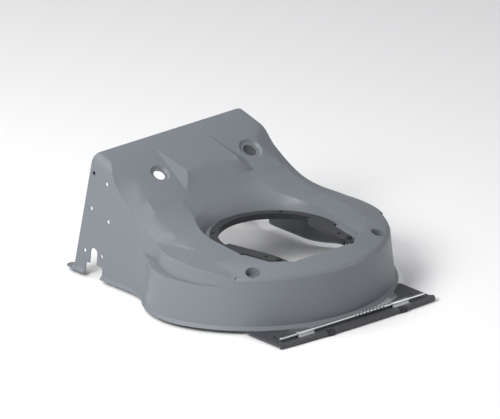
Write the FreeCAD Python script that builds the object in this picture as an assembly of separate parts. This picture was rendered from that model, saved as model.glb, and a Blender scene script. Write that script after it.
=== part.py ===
import FreeCAD, Part
import math
import os

# Walk-behind mower deck: a stamped steel shell with its engine mounting ring and front plate.
# Lengths are millimetres. X is across the deck, -Y is the front and Z is up from the skirt edge.
# "Ahead" is a distance in front of the crankshaft axis, so Y = SPINDLE_Y - ahead.

# Driving dimensions of the deck
LIP_RADIUS = 287.5            # outer edge of the flared skirt round the cutting circle
PLATE_FRONT = LIP_RADIUS + 34.5   # front edge of the front plate, ahead of the crankshaft
FOOT_REAR = 291.0             # rear end of the feet, behind the crankshaft
SHEET = 2.0                   # deck steel
DRAFT = math.tan(math.radians(5.6))

# Skirt outline
LIP_FLARE = 7.0
LIP_HEIGHT = 6.6
BOX_HALF_WIDTH = 224.0        # lip of the rear box
BLEND_ANGLE = math.radians(22.7)
CONVEX_RADIUS = 150.0         # from the circle into the neck
CONCAVE_RADIUS = 90.0         # from the neck into the rear box

# Side profile of the hood, as (ahead, height)
BACK_FOOT = (-271.3, 0.0)
BACK_TOP = (-244.0, 222.0)
HOOD_REAR = (-300.0, 255.7)
HOOD_BEND = (-200.5, 228.0)
SADDLE = (-48.9, 134.5)
SADDLE_RADIUS = 260.0
PANEL_END = (112.0, 120.0)
PANEL_STEP = (122.0, 116.5)

# Band between the inner panel and the skirt
RIM_RADIUS = LIP_RADIUS - 23.9
RIM_HEIGHT = 104.0
BAND_SLOPE = 0.32
BAND_IN = 150.0
BAND_OUT = LIP_RADIUS + 2.5
# Rear flank of the band: ahead, height at BAND_IN, height at BAND_OUT
BAND_STATIONS = (
    (-250.0, 245.5, 245.0),
    (-200.0, 231.5, 222.0),
    (-180.0, 224.0, 169.0),
    (-155.0, 203.0, 137.0),
    (-125.0, 187.0, 112.0),
    (-95.0, 174.0, 101.0),
    (-50.0, 152.5, 98.0),
)
SHOULDER = 15.0
SHOULDER_BITE = 1.0            # the rounding runs out of the skirt at a slight angle
BACK_CORNER = 6.0
HOOD_CORNER = 20.0

# Volute ledge on the left
LEDGE_HEIGHT = 84.0
LEDGE_RADIUS = LIP_RADIUS - 22.5
LEDGE_SHIFT = 12.0
LEDGE_BOX = 212.0
LEDGE_REAR = -140.0
LEDGE_RISE = 70.0
VOLUTE_HEIGHT = 122.0
VOLUTE_BREAK = 85.0
VOLUTE_END = (182.0, 103.0)
VOLUTE_RADIUS = 120.0
VOLUTE_INNER = 182.0
VOLUTE_REAR = -90.0

# Raised crown on the hood
HOOD_SLOPE = (SADDLE[1] - HOOD_BEND[1]) / (SADDLE[0] - HOOD_BEND[0])
CROWN_SLOPE = -0.446
CROWN_SIDE = 1.8              # run of the crown's flanks for each millimetre of height
CROWN_LEFT_REAR = -66.0
CROWN_RIGHT_REAR = 62.0
CROWN_LEFT = -70.0
CROWN_RIGHT = 102.0
CROWN_ELBOW = -128.0
CROWN_FRONT = -88.0

# Well round the engine opening: height, half width, rear end and squareness of each section
WELL_FLOOR = 110.0
WELL_SIDE_START = 60.0
WELL_SECTIONS = (
    (WELL_FLOOR, 132.0, -56.0, 2.2),
    (122.0, 135.0, -60.0, 2.2),
    (137.0, 138.0, -69.0, 2.6),
    (156.0, 139.0, -91.0, 4.6),
    (170.0, 140.0, -107.0, 5.5),
    (190.0, 141.0, -127.0, 2.8),
    (250.0, 143.0, -187.0, 2.2),
)
WELL_FRONT = ((118.0, 186.0), (75.0, 216.0))
WELL_STEPS = 7

TOP_OF_STOCK = 250.0

# How far the cutters reach past the deck
STOCK = LIP_RADIUS + 42.5
STOCK_REAR = HOOD_REAR[0]
STOCK_LOW = 20.0
STOCK_TOP = TOP_OF_STOCK + 50.0

# Engine opening in the floor of the well
OPENING_RADIUS = 119.0
RING_CENTRE = 76.0
OPENING_SIDE = ((108.0, 98.0), (84.0, 168.0), (80.0, 202.0), (62.0, 210.0))

# Front pads, cable dimples and side-wall holes
PAD_PLACE = (LIP_RADIUS - 125.5, LIP_RADIUS - 95.5)
PAD_RADIUS = 15.0
PAD_HEIGHT = 97.0
BOLT_HOLE = 8.0
DIMPLES = ((-97.0, -152.0, 20.0, 12.0), (130.0, -145.0, 24.0, 14.0))
DIMPLE_DEPTH = 5.0
DIMPLE_RUN = 4.0
WALL_HOLES = ((-231.5, 201.0), (-193.0, 189.0), (-231.5, 130.0), (-181.0, 116.0),
              (-240.5, 43.0), (-192.0, 43.0))

# Axle relief in each side wall
RELIEF_REAR = -235.0
RELIEF_FRONT = -187.0
RELIEF_HEIGHT = 22.0
RELIEF_CORNER = 6.0
SLOT_CENTRE = -214.5
SLOT_WIDTH = 20.0
SLOT_TOP = 54.0

# Rear discharge opening and the feet
REAR_FLANGE = 22.0
REAR_OPENING_TOP = 200.0
REAR_CORNER = 25.0
FOOT_WIDTH = 25.0
FOOT_OUTER = 222.0
FOOT_START = -262.0

# Engine ring
RING_SHEET = 3.0
RING_OUTER = 129.0
RING_INNER = 113.0
RING_SIDE = ((116.0, 112.0), (101.0, 184.0), (88.0, 206.0), (78.0, 206.0))
RING_NECK = ((102.0, 54.0), (79.0, 160.0), (78.0, 206.0))
RING_FLANGE = 9.0
COLLAR_END = 186.0
RING_HOLES = ((88.0, -9.0), (94.0, 153.7))
RING_STUDS = (91.0, 186.0)

# Front plate with its rod, hooks, spring and clips
PLATE_SHEET = 2.0
PLATE_HALF = 200.0
PLATE_SIDE_FRONT = PLATE_FRONT - 7.0
PLATE_TIP = ((PLATE_HALF + 7.0, PLATE_FRONT - 19.0), (PLATE_HALF, PLATE_FRONT - 24.0))
PLATE_SIDE_REAR = LIP_RADIUS - 75.5
PLATE_INNER = LIP_RADIUS + 0.5
PLATE_SHOULDER = LIP_RADIUS - 25.5
PLATE_ARM = 26.0
PLATE_WEB = (-110.0, 90.0)
PLATE_FLANGE = 5.0
PLATE_HOLES = ((175.7, PLATE_FRONT - 50.0), (175.7, PLATE_FRONT - 26.0))
ROD_AHEAD = LIP_RADIUS + 10.5
ROD_RADIUS = 3.0
ROD_HEIGHT = 5.5
ROD_HALF = 186.0
HOOK_X = (101.0, 143.0)
HOOK_SHEET = 1.5
HOOK_LAND = 10.0
SPRING_START = 4.0
SPRING_PITCH = 9.0
SPRING_TURNS = 9
SPRING_WIRE = 0.9
SPRING_FACETS = 12
CLIPS = (-72.0, 115.0)
CLIP_WIDTH = 16.0
CLIP_REACH = 9.0
CLIP_SHEET = 1.5


def bow(x):
    """How far ahead the bowed front edge of the plate is at this distance from the middle."""
    rise = PLATE_FRONT - PLATE_SIDE_FRONT
    reach = (PLATE_HALF ** 2 + rise ** 2) / (2.0 * rise)
    return PLATE_FRONT - reach + math.sqrt(reach ** 2 - x ** 2)


# The origin is at the bottom centre of the whole, below the skirt edge by the reach of the clips
FRONT_END = bow(min(abs(x) for x in CLIPS) - CLIP_WIDTH / 2.0) + CLIP_SHEET
SPINDLE_Y = (FRONT_END - FOOT_REAR) / 2.0
LIFT = CLIP_REACH


def at(x, ahead, z):
    """Point at this distance ahead of the crankshaft and this height above the skirt edge."""
    return FreeCAD.Vector(x, SPINDLE_Y - ahead, z + LIFT)


def offset_line(a, b, amount):
    """Line a-b moved to its right by amount, as a point and a direction."""
    dx, dz = b[0] - a[0], b[1] - a[1]
    size = math.hypot(dx, dz)
    return (a[0] + dz / size * amount, a[1] - dx / size * amount), (dx / size, dz / size)


def lowered(points, amount):
    """Open side profile moved down square to itself, with its corners kept sharp."""
    lines = [offset_line(points[i], points[i + 1], amount) for i in range(len(points) - 1)]
    moved = [lines[0][0]]
    for (p, d), (q, e) in zip(lines, lines[1:]):
        cross = d[0] * e[1] - d[1] * e[0]
        along = ((q[0] - p[0]) * e[1] - (q[1] - p[1]) * e[0]) / cross
        moved.append((p[0] + d[0] * along, p[1] + d[1] * along))
    last, direction = lines[-1]
    length = math.hypot(points[-1][0] - points[-2][0], points[-1][1] - points[-2][1])
    moved.append((last[0] + direction[0] * length, last[1] + direction[1] * length))
    return moved


def rounded_edges(points, radii, x):
    """Lines and tangent arcs through side-profile corners in the plane X = x."""
    edges = []
    start = points[0]
    for i in range(1, len(points)):
        corner = points[i]
        radius = radii.get(i, 0.0)
        if radius and i < len(points) - 1:
            a, b = points[i - 1], points[i + 1]
            u = (a[0] - corner[0], a[1] - corner[1])
            v = (b[0] - corner[0], b[1] - corner[1])
            u = (u[0] / math.hypot(*u), u[1] / math.hypot(*u))
            v = (v[0] / math.hypot(*v), v[1] / math.hypot(*v))
            half = math.acos(max(-1.0, min(1.0, u[0] * v[0] + u[1] * v[1]))) / 2.0
            reach = radius / math.tan(half)
            p = (corner[0] + u[0] * reach, corner[1] + u[1] * reach)
            q = (corner[0] + v[0] * reach, corner[1] + v[1] * reach)
            w = (u[0] + v[0], u[1] + v[1])
            w = (w[0] / math.hypot(*w), w[1] / math.hypot(*w))
            depth = radius / math.sin(half) - radius
            m = (corner[0] + w[0] * depth, corner[1] + w[1] * depth)
            edges.append(Part.LineSegment(at(x, *start), at(x, *p)).toShape())
            edges.append(Part.Arc(at(x, *p), at(x, *m), at(x, *q)).toShape())
            start = q
        else:
            edges.append(Part.LineSegment(at(x, *start), at(x, *corner)).toShape())
            start = corner
    return edges


def side_slab(points, radii, x0, x1):
    """Solid between X = x0 and X = x1 with this closed side profile."""
    edges = rounded_edges(points + [points[0]], radii, x0)
    return Part.Face(Part.Wire(edges)).extrude(FreeCAD.Vector(x1 - x0, 0, 0))


def skirt_wire(z, inset, radius=LIP_RADIUS, shift=0.0, half_box=BOX_HALF_WIDTH, rear=STOCK_REAR):
    """Plan outline of the skirt at height z, moved inwards by inset."""
    big = radius - inset
    convex = CONVEX_RADIUS - (LIP_RADIUS - radius) - inset
    concave = CONCAVE_RADIUS + (LIP_RADIUS - radius) + inset
    box = half_box - inset
    c1 = (-(big - convex) * math.cos(BLEND_ANGLE), shift + (big - convex) * math.sin(BLEND_ANGLE))
    c2x = -box - concave
    c2 = (c2x, c1[1] - math.sqrt((convex + concave) ** 2 - (c2x - c1[0]) ** 2))
    t0 = (-big * math.cos(BLEND_ANGLE), shift + big * math.sin(BLEND_ANGLE))
    share = convex / (convex + concave)
    t1 = (c1[0] + (c2[0] - c1[0]) * share, c1[1] + (c2[1] - c1[1]) * share)
    t2 = (-box, c2[1])
    turn_end = math.atan2(t1[1] - c1[1], -(t1[0] - c1[0]))
    turn_mid = (BLEND_ANGLE + turn_end) / 2.0
    m1 = (c1[0] - convex * math.cos(turn_mid), c1[1] + convex * math.sin(turn_mid))
    swing = math.atan2(t1[1] - c2[1], t1[0] - c2[0]) / 2.0
    m2 = (c2[0] + concave * math.cos(swing), c2[1] + concave * math.sin(swing))
    edges = [
        Part.LineSegment(at(-box, rear, z), at(*t2, z)).toShape(),
        Part.Arc(at(*t2, z), at(*m2, z), at(*t1, z)).toShape(),
        Part.Arc(at(*t1, z), at(*m1, z), at(*t0, z)).toShape(),
        Part.Arc(at(*t0, z), at(0, shift + big, z), at(-t0[0], t0[1], z)).toShape(),
        Part.Arc(at(-t0[0], t0[1], z), at(-m1[0], m1[1], z), at(-t1[0], t1[1], z)).toShape(),
        Part.Arc(at(-t1[0], t1[1], z), at(-m2[0], m2[1], z), at(box, t2[1], z)).toShape(),
        Part.LineSegment(at(box, t2[1], z), at(box, rear, z)).toShape(),
        Part.LineSegment(at(box, rear, z), at(-box, rear, z)).toShape(),
    ]
    return Part.Wire(edges)


def skirt_body(skin):
    """Drafted body inside the skirt, with skin taken off all round."""
    rise = TOP_OF_STOCK - LIP_HEIGHT
    if skin:
        flare = LIP_FLARE / LIP_HEIGHT
        start = -4.0
        wires = [
            skirt_wire(start, skin * math.sqrt(2.0) + start * flare),
            skirt_wire(LIP_HEIGHT - skin * 0.4, LIP_FLARE + skin),
            skirt_wire(TOP_OF_STOCK, LIP_FLARE + skin + rise * DRAFT),
        ]
    else:
        wires = [
            skirt_wire(0.0, 0.0),
            skirt_wire(LIP_HEIGHT, LIP_FLARE),
            skirt_wire(TOP_OF_STOCK, LIP_FLARE + rise * DRAFT),
        ]
    return Part.makeLoft(wires, True, True)


def band_height(radius):
    return RIM_HEIGHT + (RIM_RADIUS - radius) * BAND_SLOPE


def band_cutters(skin):
    """Stock above the sloping band, on both rear flanks and round the front."""
    drop = skin * 1.2
    roof = STOCK_TOP
    cutters = []
    for side in (-1.0, 1.0):
        wires = []
        for x, column in ((BAND_IN, 1), (BAND_OUT, 2)):
            knots = [(row[0], row[column] - drop) for row in BAND_STATIONS] + [(0.0, band_height(x) - drop)]
            rear, front = knots[0], knots[-1]
            flank = Part.BSplineCurve()
            flank.interpolate([at(side * x, *k) for k in knots])
            wires.append(Part.Wire([
                flank.toShape(),
                Part.LineSegment(at(side * x, *front), at(side * x, 0.0, roof)).toShape(),
                Part.LineSegment(at(side * x, 0.0, roof), at(side * x, rear[0], roof)).toShape(),
                Part.LineSegment(at(side * x, rear[0], roof), at(side * x, *rear)).toShape(),
            ]))
        cutters.append(Part.makeLoft(wires, True, True))
    r0, r1 = BAND_IN, STOCK
    corners = [(r0, band_height(r0) - drop), (r1, band_height(r1) - drop), (r1, roof), (r0, roof)]
    section = Part.makePolygon([at(r, 0.0, z) for r, z in corners + corners[:1]])
    cutters.append(Part.Face(section).revolve(at(0, 0, 0), FreeCAD.Vector(0, 0, 1), -180.0))
    cutters.append(shoulder_cutter(skin, drop))
    return cutters


def shoulder_cutter(skin, drop):
    """Stock outside the rounded shoulder, where the skirt is round."""
    radius = SHOULDER - skin
    wall = LIP_RADIUS - LIP_FLARE - skin + LIP_HEIGHT * DRAFT
    band, skirt = math.atan(BAND_SLOPE), math.atan(1.0 / DRAFT)
    top = band_height(0.0) - drop
    corner_r = (wall / DRAFT - top) / (1.0 / DRAFT - BAND_SLOPE)
    corner_z = top - corner_r * BAND_SLOPE
    reach = radius * math.tan((skirt - band) / 2.0)
    on_band = (corner_r - reach * math.cos(band), corner_z + reach * math.sin(band))
    on_skirt = (corner_r + reach * math.cos(skirt), corner_z - reach * math.sin(skirt))
    half = (skirt + band) / 2.0
    middle = (on_band[0] + radius * (math.sin(half) - math.sin(band)),
              on_band[1] + radius * (math.cos(half) - math.cos(band)))
    on_skirt = (on_skirt[0] + SHOULDER_BITE, on_skirt[1] - SHOULDER_BITE)
    points = [on_band, on_skirt, (on_skirt[0] + radius, on_skirt[1]),
              (on_skirt[0] + radius, on_band[1] + radius), (on_band[0], on_band[1] + radius)]
    points = [at(r, 0.0, z) for r, z in points]
    edges = [Part.LineSegment(a, b).toShape() for a, b in zip(points, points[1:] + points[:1])]
    edges[0] = Part.Arc(points[0], at(middle[0], 0.0, middle[1]), points[1]).toShape()
    face = Part.Face(Part.Wire(edges))
    start = math.degrees(BLEND_ANGLE)
    up = FreeCAD.Vector(0, 0, 1)
    face.rotate(at(0, 0, 0), up, -start)
    return face.revolve(at(0, 0, 0), up, 2.0 * start - 180.0)


def ledge_body(skin):
    """Drafted body inside the volute wall, which fades into the skirt at both ends."""
    top = LEDGE_HEIGHT + 80.0
    wires = []
    for z in (LEDGE_HEIGHT - 10.0, top):
        inset = (LIP_RADIUS - LEDGE_RADIUS) + skin + (z - LEDGE_HEIGHT) * DRAFT
        half_box = LEDGE_BOX + (LIP_RADIUS - LEDGE_RADIUS)
        wires.append(skirt_wire(z, inset, LIP_RADIUS, LEDGE_SHIFT, half_box))
    return Part.makeLoft(wires, True, True)


def with_volute(body, skin):
    """Left side stepped in above the ledge and raised towards the volute."""
    core = ledge_body(skin)
    length = VOLUTE_END[0] - LEDGE_REAR
    ring = Part.makeBox(STOCK, length, LEDGE_RISE, at(-STOCK, VOLUTE_END[0], LEDGE_HEIGHT - skin))
    body = body.cut(ring.cut(core))
    roof = lowered([(VOLUTE_REAR, VOLUTE_HEIGHT), (VOLUTE_BREAK, VOLUTE_HEIGHT), VOLUTE_END], skin)
    roof[-1] = (VOLUTE_END[0], VOLUTE_END[1] - skin)
    profile = roof + [(VOLUTE_END[0], LEDGE_HEIGHT - skin), (VOLUTE_REAR, LEDGE_HEIGHT - skin)]
    raised = side_slab(profile, {1: VOLUTE_RADIUS - skin}, -STOCK, -VOLUTE_INNER)
    return body.fuse(core.common(raised).common(skirt_body(skin)))


def envelope(skin):
    body = skirt_body(skin)
    top = lowered([HOOD_REAR, HOOD_BEND, SADDLE, PANEL_END, PANEL_STEP, (STOCK, PANEL_STEP[1])], skin)
    profile = top + [(STOCK, -STOCK_LOW), (STOCK_REAR, -STOCK_LOW)]
    body = body.common(side_slab(profile, {2: SADDLE_RADIUS + skin}, -STOCK, STOCK))
    for cutter in band_cutters(skin):
        body = body.cut(cutter)
    lean = (BACK_TOP[0] - BACK_FOOT[0]) / (BACK_TOP[1] - BACK_FOOT[1])
    low, high = -STOCK_LOW, STOCK_TOP
    behind = [
        (BACK_FOOT[0] + low * lean + skin, low), (BACK_FOOT[0] + high * lean + skin, high),
        (STOCK_REAR - STOCK_LOW, high), (STOCK_REAR - STOCK_LOW, low),
    ]
    body = body.cut(side_slab(behind, {}, -STOCK, STOCK)).removeSplitter()
    body = body.makeFillet(HOOD_CORNER - skin, [e for e in body.Edges if is_rear_corner(e, False)])
    return body.makeFillet(BACK_CORNER - skin, [e for e in body.Edges if is_rear_corner(e, True)])


def is_rear_corner(edge, upright):
    """Upright corners of the rear wall, or else the side edges of the hood's rear strip."""
    box = edge.BoundBox
    if box.XMin * box.XMax < 0.0 or box.YMin < SPINDLE_Y - HOOD_BEND[0] - LIP_HEIGHT:
        return False
    if upright:
        return box.ZLength > BACK_TOP[1] / 2.0 and box.YMax > SPINDLE_Y - BACK_FOOT[0] - LIP_HEIGHT
    return box.ZMin > HOOD_BEND[1] + LIFT - 5.0 and box.YLength > 20.0


def hood_height(ahead):
    """Height of the flat sloping part of the hood."""
    return HOOD_BEND[1] + (ahead - HOOD_BEND[0]) * HOOD_SLOPE


def with_crown(body, skin):
    """Raised wedge on the hood, between its two crease lines."""
    def ring(height):
        spread = height * CROWN_SIDE
        corners = [
            (CROWN_LEFT_REAR + spread, HOOD_BEND[0]), (CROWN_RIGHT_REAR - spread, HOOD_BEND[0]),
            (CROWN_RIGHT - spread, CROWN_ELBOW), (CROWN_RIGHT - spread, CROWN_FRONT),
            (CROWN_LEFT + spread, CROWN_FRONT), (CROWN_LEFT + spread, CROWN_ELBOW),
        ]
        points = [at(x, ahead, hood_height(ahead) + height - skin) for x, ahead in corners]
        return Part.makePolygon(points + points[:1])
    block = Part.makeLoft([ring(-8.0), ring(30.0)], True, True)
    reach = CROWN_FRONT - HOOD_BEND[0]
    end = HOOD_BEND[1] + reach * CROWN_SLOPE
    roof = [(HOOD_BEND[0], HOOD_BEND[1] - skin), (CROWN_FRONT, end - skin),
            (CROWN_FRONT, 100.0), (HOOD_BEND[0], 100.0)]
    return body.fuse(block.common(side_slab(roof, {}, -150.0, 150.0)))


def well_wire(section, skin):
    """Closed outline of the well: rounded rear, straight sides and converging front."""
    z, half, rear, power = section
    half, rear = half + skin, rear - skin
    reach = WELL_SIDE_START - rear
    points = []
    for step in range(-WELL_STEPS, WELL_STEPS + 1):
        turn = math.pi / 2.0 * step / WELL_STEPS
        across = math.copysign(abs(math.sin(turn)) ** (2.0 / power), turn)
        back = abs(math.cos(turn)) ** (2.0 / power) if abs(step) < WELL_STEPS else 0.0
        points.append(at(half * across, WELL_SIDE_START - reach * back, z - skin))
    rear_curve = Part.BSplineCurve()
    rear_curve.interpolate(points)
    right = [points[-1], at(half, PANEL_END[0] - 1.0, z - skin)]
    right += [at(x + skin, ahead + skin, z - skin) for x, ahead in WELL_FRONT]
    left = [FreeCAD.Vector(-p.x, p.y, p.z) for p in right]
    edges = [rear_curve.toShape()]
    edges += [Part.LineSegment(right[i], right[i + 1]).toShape() for i in range(3)]
    edges.append(Part.LineSegment(right[3], left[3]).toShape())
    edges += [Part.LineSegment(left[3 - i], left[2 - i]).toShape() for i in range(3)]
    return Part.Wire(edges)


def well_cutter(skin):
    """Well round the engine opening: flat floor, blend, scooped rear wall and steep sides."""
    return Part.makeLoft([well_wire(section, skin) for section in WELL_SECTIONS], True, True)


def plan_prism(points, z0, z1):
    """Prism between two heights with this closed plan outline."""
    corners = [at(x, ahead, z0) for x, ahead in points]
    face = Part.Face(Part.makePolygon(corners + corners[:1]))
    return face.extrude(FreeCAD.Vector(0, 0, z1 - z0))


def horseshoe(radius, centre, side, z0, z1):
    """Prism with a round rear, symmetric sides and a straight front, given its right side."""
    right = [at(x, ahead, z0) for x, ahead in side]
    dy = side[0][1] - centre
    start = math.sqrt(radius ** 2 - dy ** 2)
    end = at(start, side[0][1], z0)
    chain = [end] + [p for p in right if (p - end).Length > 0.5]
    left = [FreeCAD.Vector(-p.x, p.y, p.z) for p in chain]
    edges = [Part.Arc(left[0], at(0, centre - radius, z0), chain[0]).toShape()]
    edges += [Part.LineSegment(chain[i], chain[i + 1]).toShape() for i in range(len(chain) - 1)]
    edges.append(Part.LineSegment(chain[-1], left[-1]).toShape())
    edges += [Part.LineSegment(left[i], left[i - 1]).toShape() for i in range(len(left) - 1, 0, -1)]
    return Part.Face(Part.Wire(edges)).extrude(FreeCAD.Vector(0, 0, z1 - z0))


def hood_spot(x, ahead, lift):
    """Point at this lift off the hood, and the direction square to the hood."""
    slope = math.atan(HOOD_SLOPE)
    normal = FreeCAD.Vector(0, math.sin(slope), math.cos(slope))
    return at(x, ahead, hood_height(ahead)) + normal * lift, normal


def dimple(x, ahead, radius, skin):
    """Cone sunk square to the hood, with its skin taken off."""
    flare = DIMPLE_RUN / DIMPLE_DEPTH
    clear = 15.0
    foot, normal = hood_spot(x, ahead, -DIMPLE_DEPTH - skin)
    low = radius - DIMPLE_RUN + skin * 0.5
    height = DIMPLE_DEPTH + skin + clear
    return Part.makeCone(low, low + height * flare, height, foot, normal)


def with_pads(body, skin):
    """Bolt pads sunk into the front band and dimples sunk into the hood."""
    for side in (-1.0, 1.0):
        place = at(side * PAD_PLACE[0], PAD_PLACE[1], PAD_HEIGHT - skin)
        body = body.cut(Part.makeCylinder(PAD_RADIUS + skin, 60.0, place))
    for x, ahead, radius, _ in DIMPLES:
        body = body.cut(dimple(x, ahead, radius, skin))
    return body


def side_hole(ahead, z, radius):
    """Cylinder across both side walls."""
    return Part.makeCylinder(radius, 2.0 * STOCK, at(-STOCK, ahead, z), FreeCAD.Vector(1, 0, 0))


def openings_cut(shell):
    """Engine opening, bolt holes, axle reliefs and the rear discharge opening."""
    shell = shell.cut(horseshoe(OPENING_RADIUS, RING_CENTRE, OPENING_SIDE, 90.0, 130.0))
    for side in (-1.0, 1.0):
        place = at(side * PAD_PLACE[0], PAD_PLACE[1], PAD_HEIGHT - 10.0)
        shell = shell.cut(Part.makeCylinder(BOLT_HOLE / 2.0, 20.0, place))
        for x, ahead in RING_HOLES:
            place = at(side * x, ahead, WELL_FLOOR - 10.0)
            shell = shell.cut(Part.makeCylinder(BOLT_HOLE / 2.0, 20.0, place))
    for x, ahead, _, hole in DIMPLES:
        start, normal = hood_spot(x, ahead, -20.0)
        shell = shell.cut(Part.makeCylinder(hole, 40.0, start, normal))
    for ahead, z in WALL_HOLES:
        shell = shell.cut(side_hole(ahead, z, BOLT_HOLE / 2.0))
    relief = [(RELIEF_REAR, -5.0), (RELIEF_REAR, RELIEF_HEIGHT), (RELIEF_FRONT, RELIEF_HEIGHT),
              (RELIEF_FRONT, -5.0)]
    half = SLOT_WIDTH / 2.0
    slot = [(SLOT_CENTRE - half, 0.0), (SLOT_CENTRE - half, SLOT_TOP), (SLOT_CENTRE + half, SLOT_TOP),
            (SLOT_CENTRE + half, 0.0)]
    shell = shell.cut(side_slab(relief, {1: RELIEF_CORNER, 2: RELIEF_CORNER}, -STOCK, STOCK))
    shell = shell.cut(side_slab(slot, {1: half - 0.1, 2: half - 0.1}, -STOCK, STOCK))
    low, high = BOX_HALF_WIDTH - REAR_FLANGE, BOX_HALF_WIDTH - REAR_FLANGE - REAR_OPENING_TOP * DRAFT
    start = STOCK_REAR
    corners = [(-low, -5.0), (low, -5.0), (high, REAR_OPENING_TOP), (-high, REAR_OPENING_TOP)]
    points = [at(x, start, z) for x, z in corners]
    face = Part.Face(Part.makePolygon(points + points[:1]))
    block = face.extrude(FreeCAD.Vector(0, start - BACK_TOP[0] - 6.0, 0))
    upright = [e for e in block.Edges
               if e.BoundBox.ZMin > REAR_OPENING_TOP - 1.0 and e.BoundBox.YLength > 10.0]
    return shell.cut(block.makeFillet(REAR_CORNER, upright))


def foot(side):
    """Flat tab at the bottom of the box, with a round end."""
    inner = FOOT_OUTER - FOOT_WIDTH
    middle = -FOOT_REAR + FOOT_WIDTH / 2.0
    block = plan_prism([(side * inner, FOOT_START), (side * FOOT_OUTER, FOOT_START),
                        (side * FOOT_OUTER, middle), (side * inner, middle)], 0.0, SHEET)
    end = Part.makeCylinder(FOOT_WIDTH / 2.0, SHEET, at(side * (inner + FOOT_WIDTH / 2.0), middle, 0.0))
    return block.fuse(end)


def deck_shell():
    forms = []
    for skin in (0.0, SHEET):
        form = with_crown(with_volute(envelope(skin), skin), skin)
        form = with_pads(form.cut(well_cutter(skin)), skin)
        forms.append(form)
    shell = openings_cut(forms[0].cut(forms[1]))
    for side in (-1.0, 1.0):
        shell = shell.fuse(foot(side))
    return shell.removeSplitter()


def engine_ring():
    top = WELL_FLOOR + RING_SHEET
    plate = horseshoe(RING_OUTER, RING_CENTRE, RING_SIDE, WELL_FLOOR, top)
    bore = horseshoe(RING_INNER, RING_CENTRE, RING_NECK, WELL_FLOOR - 30.0, top + 5.0)
    wide = tuple((x + RING_SHEET, min(ahead, COLLAR_END)) for x, ahead in RING_NECK)
    collar = horseshoe(RING_INNER + RING_SHEET, RING_CENTRE, wide, WELL_FLOOR - RING_FLANGE, top)
    ring = plate.fuse(collar).cut(bore)
    for side in (-1.0, 1.0):
        for x, ahead in RING_HOLES:
            ring = ring.cut(Part.makeCylinder(BOLT_HOLE / 2.0, 20.0, at(side * x, ahead, WELL_FLOOR - 10.0)))
        stud = at(side * RING_STUDS[0], RING_STUDS[1], top)
        ring = ring.fuse(Part.makeCylinder(6.0, 4.0, stud).cut(Part.makeCylinder(3.2, 4.0, stud)))
    return ring.removeSplitter()


def front_edge(shrink):
    """Bowed front edge of the plate, from left to right, moved back by shrink."""
    z = -PLATE_SHEET
    front = PLATE_SIDE_FRONT - shrink
    return at(-PLATE_HALF, front, z), at(0, PLATE_FRONT - shrink, z), at(PLATE_HALF, front, z)


def front_plate():
    a, m, b = front_edge(0.0)
    arm, web = PLATE_HALF - PLATE_ARM, PLATE_HALF - 50.0
    rear = PLATE_TIP + ((PLATE_HALF, PLATE_SIDE_REAR), (arm, PLATE_SIDE_REAR), (web, PLATE_SHOULDER),
                        (PLATE_WEB[1], PLATE_INNER), (PLATE_WEB[0], PLATE_INNER),
                        (-web, PLATE_SHOULDER), (-arm, PLATE_SIDE_REAR), (-PLATE_HALF, PLATE_SIDE_REAR))
    points = [b] + [at(x, ahead, -PLATE_SHEET) for x, ahead in rear] + [a]
    edges = [Part.Arc(a, m, b).toShape()]
    edges += [Part.LineSegment(points[i], points[i + 1]).toShape() for i in range(len(points) - 1)]
    plate = Part.Face(Part.Wire(edges)).extrude(FreeCAD.Vector(0, 0, PLATE_SHEET))
    c, n, d = front_edge(PLATE_SHEET)
    lip = Part.Wire([Part.Arc(a, m, b).toShape(), Part.LineSegment(b, d).toShape(),
                     Part.Arc(d, n, c).toShape(), Part.LineSegment(c, a).toShape()])
    plate = plate.fuse(Part.Face(lip).extrude(FreeCAD.Vector(0, 0, -PLATE_FLANGE)))
    for side in (-1.0, 1.0):
        for x, ahead in PLATE_HOLES:
            plate = plate.cut(Part.makeCylinder(BOLT_HOLE / 2.0, 20.0, at(side * x, ahead, -10.0)))
    return plate.removeSplitter()


def hook(side):
    """Strap that saddles the rod and lies on the plate on both sides of it."""
    x0 = side * HOOK_X[0] if side > 0 else side * HOOK_X[1]
    width = HOOK_X[1] - HOOK_X[0]
    outer = ROD_RADIUS + HOOK_SHEET
    low, mid, high = 0.0, HOOK_SHEET, ROD_HEIGHT

    def p(ahead, z):
        return at(x0, ROD_AHEAD + ahead, z)
    edges = [
        Part.LineSegment(p(-outer - HOOK_LAND, low), p(-ROD_RADIUS, low)).toShape(),
        Part.LineSegment(p(-ROD_RADIUS, low), p(-ROD_RADIUS, high)).toShape(),
        Part.Arc(p(-ROD_RADIUS, high), p(0, high + ROD_RADIUS), p(ROD_RADIUS, high)).toShape(),
        Part.LineSegment(p(ROD_RADIUS, high), p(ROD_RADIUS, low)).toShape(),
        Part.LineSegment(p(ROD_RADIUS, low), p(outer + HOOK_LAND / 2.0, low)).toShape(),
        Part.LineSegment(p(outer + HOOK_LAND / 2.0, low), p(outer + HOOK_LAND / 2.0, mid)).toShape(),
        Part.LineSegment(p(outer + HOOK_LAND / 2.0, mid), p(outer, mid)).toShape(),
        Part.LineSegment(p(outer, mid), p(outer, high)).toShape(),
        Part.Arc(p(outer, high), p(0, high + outer), p(-outer, high)).toShape(),
        Part.LineSegment(p(-outer, high), p(-outer, mid)).toShape(),
        Part.LineSegment(p(-outer, mid), p(-outer - HOOK_LAND, mid)).toShape(),
        Part.LineSegment(p(-outer - HOOK_LAND, mid), p(-outer - HOOK_LAND, low)).toShape(),
    ]
    return Part.Face(Part.Wire(edges)).extrude(FreeCAD.Vector(width, 0, 0))


def hinge_rod():
    rod = Part.makeCylinder(ROD_RADIUS, 2 * ROD_HALF, at(-ROD_HALF, ROD_AHEAD, ROD_HEIGHT),
                            FreeCAD.Vector(1, 0, 0))
    return rod.makeChamfer(0.6, [e for e in rod.Edges if abs(e.BoundBox.XLength) < 0.01])


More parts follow.
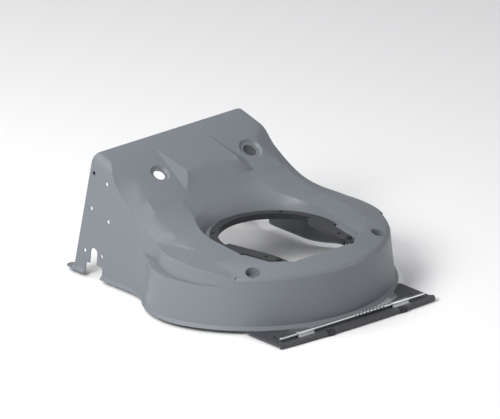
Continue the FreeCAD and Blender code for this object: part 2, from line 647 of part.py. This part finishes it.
def rod_spring():
    """Coil of straight-sided wire wound round the rod."""
    step = 2.0 * math.pi / SPRING_FACETS
    mean = (ROD_RADIUS + SPRING_WIRE) / math.cos(step / 2.0)
    lead = SPRING_PITCH / (2.0 * math.pi)
    rings = []
    for count in range(SPRING_TURNS * SPRING_FACETS + 1):
        turn = count * step
        out = FreeCAD.Vector(0, math.cos(turn), math.sin(turn))
        along = FreeCAD.Vector(lead, -mean * math.sin(turn), mean * math.cos(turn)).normalize()
        third = along.cross(out)
        centre = at(SPRING_START + lead * turn, ROD_AHEAD, ROD_HEIGHT) + out * mean
        corners = []
        for side in range(6):
            angle = math.pi / 3.0 * side
            spoke = out * math.cos(angle) + third * math.sin(angle)
            corners.append(centre + spoke * SPRING_WIRE)
        rings.append(Part.makePolygon(corners + corners[:1]))
    return Part.makeLoft(rings, True, True)


def plate_clip(x):
    """Folded clip over the front edge of the plate."""
    front = bow(abs(x) - CLIP_WIDTH / 2.0)
    leaf = [(front - CLIP_REACH, 0.0), (front - CLIP_REACH, CLIP_SHEET), (front + CLIP_SHEET, CLIP_SHEET),
            (front + CLIP_SHEET, -CLIP_REACH), (front, -CLIP_REACH), (front, 0.0)]
    return side_slab(leaf, {}, x - CLIP_WIDTH / 2.0, x + CLIP_WIDTH / 2.0)


os.makedirs("parts", exist_ok=True)
pieces = {
    "deck_shell": deck_shell(),
    "engine_ring": engine_ring(),
    "front_plate": front_plate(),
    "hook_left": hook(-1.0),
    "hook_right": hook(1.0),
    "hinge_rod": hinge_rod(),
    "rod_spring": rod_spring(),
    "plate_tab_left": plate_clip(CLIPS[0]),
    "plate_tab_right": plate_clip(CLIPS[1]),
}
for name, shape in pieces.items():
    shape.exportStep("parts/" + name + ".step")
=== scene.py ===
import math
import bpy
from mathutils import Matrix, Vector


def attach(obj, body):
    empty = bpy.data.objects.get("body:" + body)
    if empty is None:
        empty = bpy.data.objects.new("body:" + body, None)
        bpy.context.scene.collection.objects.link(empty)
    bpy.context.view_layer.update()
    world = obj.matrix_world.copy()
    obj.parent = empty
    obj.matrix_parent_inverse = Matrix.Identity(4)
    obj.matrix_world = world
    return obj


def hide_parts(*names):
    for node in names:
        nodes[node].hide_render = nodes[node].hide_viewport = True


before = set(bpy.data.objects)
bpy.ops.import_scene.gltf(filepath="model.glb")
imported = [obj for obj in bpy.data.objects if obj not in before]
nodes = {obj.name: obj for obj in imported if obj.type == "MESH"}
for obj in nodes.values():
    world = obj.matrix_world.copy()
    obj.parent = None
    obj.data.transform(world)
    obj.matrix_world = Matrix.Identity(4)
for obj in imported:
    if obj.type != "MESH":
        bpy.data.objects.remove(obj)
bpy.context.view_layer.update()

# Lengths are metres. The crankshaft axis is at Y = SPINDLE_Y and the skirt edge is at Z = LIFT.
SPINDLE_Y = 0.015892
LIFT = 0.009
ROD_AHEAD = 0.298
ROD_RADIUS = 0.003
ROD_HEIGHT = 0.0055
SPRING_START = 0.004
SPRING_PITCH = 0.009
SPRING_TURNS = 9
WIRE_RADIUS = 0.0009
WIRE_SIDES = 4
STEPS_PER_TURN = 32

# Surface grain, as noise scale and how far the gloss wanders either way
GLOSS_SCALE = 60.0
COAT_UNEVEN = 0.02
METAL_UNEVEN = 0.07
PEEL_STRENGTH = 0.25
COAT_SPECULAR = 0.4

# Edges: angles above CREASE get a rounded edge, angles above FOLD stay sharp in the shading
CREASE = math.radians(28.0)
FOLD = math.radians(25.0)
EDGE_SEGMENTS = 4
SHADE_WEIGHT = 60
WELD_REACH = 0.00001

# Stage
FLOOR_HALF = 12.0
FLOOR_COLOUR = (0.82, 0.82, 0.82)
FLOOR_ROUGH = 0.75
MIDDLE = (0.0, SPINDLE_Y, 0.12)
SKY_COLOUR = (0.95, 0.96, 1.0, 1.0)
SKY_STRENGTH = 0.32
CAMERA_AIM = (0.0, SPINDLE_Y, 0.1509)
CAMERA_BACK = (-0.6187, -0.6993, 0.358)
CAMERA_RIGHT = (0.7489, -0.6627, 0.0)
CAMERA_DISTANCE = 3.0
CAMERA_SCALE = 0.9671
CAMERA_CLIP = 20.0


# Materials
def shader(name):
    """New material with its main shader, as (material, nodes, links, shader)."""
    mat = bpy.data.materials.new(name)
    mat.use_nodes = True
    tree = mat.node_tree
    return mat, tree.nodes, tree.links, tree.nodes["Principled BSDF"]


def noise(tree_nodes, links, scale, detail):
    """Noise in the row's own coordinates, so it doesn't change with the view."""
    coords = tree_nodes.new("ShaderNodeTexCoord")
    texture = tree_nodes.new("ShaderNodeTexNoise")
    texture.inputs["Scale"].default_value = scale
    texture.inputs["Detail"].default_value = detail
    links.new(coords.outputs["Object"], texture.inputs["Vector"])
    return texture


def spread(tree_nodes, links, source, low, high):
    """Map a 0 to 1 value to a narrow band."""
    band = tree_nodes.new("ShaderNodeMapRange")
    band.inputs["From Min"].default_value = 0.3
    band.inputs["From Max"].default_value = 0.7
    band.inputs["To Min"].default_value = low
    band.inputs["To Max"].default_value = high
    links.new(source.outputs["Fac"], band.inputs["Value"])
    return band


def coat(name, colour, rough, grain, height):
    """Sprayed coat: even colour with a fine orange peel and slightly uneven gloss."""
    mat, tree_nodes, links, bsdf = shader(name)
    bsdf.inputs["Base Color"].default_value = (*colour, 1.0)
    bsdf.inputs["Specular IOR Level"].default_value = COAT_SPECULAR
    gloss = noise(tree_nodes, links, GLOSS_SCALE, 3.0)
    band = spread(tree_nodes, links, gloss, rough - COAT_UNEVEN, rough + COAT_UNEVEN)
    links.new(band.outputs["Result"], bsdf.inputs["Roughness"])
    peel = noise(tree_nodes, links, grain, 2.0)
    bump = tree_nodes.new("ShaderNodeBump")
    bump.inputs["Strength"].default_value = PEEL_STRENGTH
    bump.inputs["Distance"].default_value = height
    links.new(peel.outputs["Fac"], bump.inputs["Height"])
    links.new(bump.outputs["Normal"], bsdf.inputs["Normal"])
    return mat


def metal(name, colour, rough, grain):
    """Bare or plated metal with a fine uneven sheen."""
    mat, tree_nodes, links, bsdf = shader(name)
    bsdf.inputs["Base Color"].default_value = (*colour, 1.0)
    bsdf.inputs["Metallic"].default_value = 1.0
    sheen = noise(tree_nodes, links, grain, 3.0)
    band = spread(tree_nodes, links, sheen, rough - METAL_UNEVEN, rough + METAL_UNEVEN)
    links.new(band.outputs["Result"], bsdf.inputs["Roughness"])
    return mat


deck_paint = coat("deck_paint", (0.155, 0.170, 0.185), 0.47, 700.0, 0.00008)
ring_coat = coat("ring_coat", (0.030, 0.031, 0.034), 0.38, 900.0, 0.00005)
plate_coat = coat("plate_coat", (0.050, 0.052, 0.057), 0.40, 900.0, 0.00005)
clip_black = coat("clip_black", (0.018, 0.018, 0.02), 0.5, 900.0, 0.00004)
zinc = metal("zinc", (0.50, 0.51, 0.53), 0.36, 160.0)
spring_steel = metal("spring_steel", (0.30, 0.305, 0.32), 0.32, 300.0)

FINISHES = {
    "deck_shell": deck_paint,
    "engine_ring": ring_coat,
    "front_plate": plate_coat,
    "hook_left": zinc,
    "hook_right": zinc,
    "hinge_rod": zinc,
    "rod_spring": spring_steel,
    "plate_tab_left": clip_black,
    "plate_tab_right": clip_black,
}
EDGE_ROUND = {"deck_shell": 0.0009, "engine_ring": 0.0007, "front_plate": 0.0006,
              "hook_left": 0.0004, "hook_right": 0.0004,
              "plate_tab_left": 0.0005, "plate_tab_right": 0.0005}


def soften(obj, width):
    """Rounded sheet edges and smooth shading on a piece from model.glb."""
    obj.data.shade_smooth()
    weld = obj.modifiers.new("weld", "WELD")
    weld.merge_threshold = WELD_REACH
    bevel = obj.modifiers.new("edges", "BEVEL")
    bevel.width = width
    bevel.segments = EDGE_SEGMENTS
    bevel.limit_method = "ANGLE"
    bevel.angle_limit = CREASE
    bevel.use_clamp_overlap = True
    split = obj.modifiers.new("folds", "EDGE_SPLIT")
    split.use_edge_angle = True
    split.split_angle = FOLD
    shade = obj.modifiers.new("shade", "WEIGHTED_NORMAL")
    shade.keep_sharp = True
    shade.weight = SHADE_WEIGHT


for name, obj in nodes.items():
    if not obj.material_slots:
        obj.data.materials.append(FINISHES[name])
    for material_slot in obj.material_slots:
        material_slot.material = FINISHES[name]
    if name in EDGE_ROUND:
        soften(obj, EDGE_ROUND[name])


# Round wire for the spring
def spring_wire():
    """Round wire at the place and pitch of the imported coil, shown in its stead."""
    curve = bpy.data.curves.new("spring_wire", "CURVE")
    curve.dimensions = "3D"
    curve.bevel_depth = WIRE_RADIUS
    curve.bevel_resolution = WIRE_SIDES
    curve.use_fill_caps = True
    count = SPRING_TURNS * STEPS_PER_TURN + 1
    line = curve.splines.new("POLY")
    line.points.add(count - 1)
    mean = ROD_RADIUS + WIRE_RADIUS
    for index in range(count):
        turn = 2.0 * math.pi * index / STEPS_PER_TURN
        x = SPRING_START + SPRING_PITCH * index / STEPS_PER_TURN
        y = SPINDLE_Y - ROD_AHEAD + mean * math.cos(turn)
        z = LIFT + ROD_HEIGHT + mean * math.sin(turn)
        line.points[index].co = (x, y, z, 1.0)
    line.use_smooth = True
    obj = bpy.data.objects.new("spring_wire", curve)
    bpy.context.scene.collection.objects.link(obj)
    obj.data.materials.append(spring_steel)
    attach(obj, "root")
    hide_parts("rod_spring")
    return obj


spring_wire()


# Floor, light and camera
def flat_material(name, colour, rough):
    mat, _, _, bsdf = shader(name)
    bsdf.inputs["Base Color"].default_value = (*colour, 1.0)
    bsdf.inputs["Roughness"].default_value = rough
    return mat


def floor():
    mesh = bpy.data.meshes.new("floor")
    half = FLOOR_HALF
    corners = [(-half, -half, 0), (half, -half, 0), (half, half, 0), (-half, half, 0)]
    mesh.from_pydata(corners, [], [(0, 1, 2, 3)])
    obj = bpy.data.objects.new("floor", mesh)
    bpy.context.scene.collection.objects.link(obj)
    obj.data.materials.append(flat_material("floor", FLOOR_COLOUR, FLOOR_ROUGH))
    return obj


def softbox(name, place, size, power):
    """Rectangular lamp at this place, turned to the middle of the part."""
    light = bpy.data.lights.new(name, "AREA")
    light.shape = "RECTANGLE"
    light.size, light.size_y = size
    light.energy = power
    obj = bpy.data.objects.new(name, light)
    bpy.context.scene.collection.objects.link(obj)
    away = Vector(place) - Vector(MIDDLE)
    obj.location = place
    obj.rotation_euler = away.to_track_quat("Z", "Y").to_euler()
    return obj


stage = [
    floor(),
    softbox("key", (-1.9, -0.3, 1.7), (1.2, 1.2), 66.0),
    softbox("fill", (1.8, -1.5, 1.2), (1.4, 1.2), 16.0),
    softbox("back", (-0.4, 1.5, 2.3), (2.2, 1.2), 34.0),
]

world = bpy.data.worlds.new("studio")
world.use_nodes = True
world.node_tree.nodes["Background"].inputs["Color"].default_value = SKY_COLOUR
world.node_tree.nodes["Background"].inputs["Strength"].default_value = SKY_STRENGTH
bpy.context.scene.world = world
bpy.context.scene.view_settings.view_transform = "Standard"

camera_data = bpy.data.cameras.new("camera")
camera_data.type = "ORTHO"
camera_data.ortho_scale = CAMERA_SCALE
camera_data.clip_end = CAMERA_CLIP
camera = bpy.data.objects.new("camera", camera_data)
bpy.context.scene.collection.objects.link(camera)
aim = Vector(CAMERA_AIM)
back = Vector(CAMERA_BACK).normalized()
right = Vector(CAMERA_RIGHT).normalized()
up = back.cross(right).normalized()
turn = Matrix((right, up, back)).transposed().to_4x4()
camera.matrix_world = Matrix.Translation(aim + back * CAMERA_DISTANCE) @ turn
bpy.context.scene.camera = camera
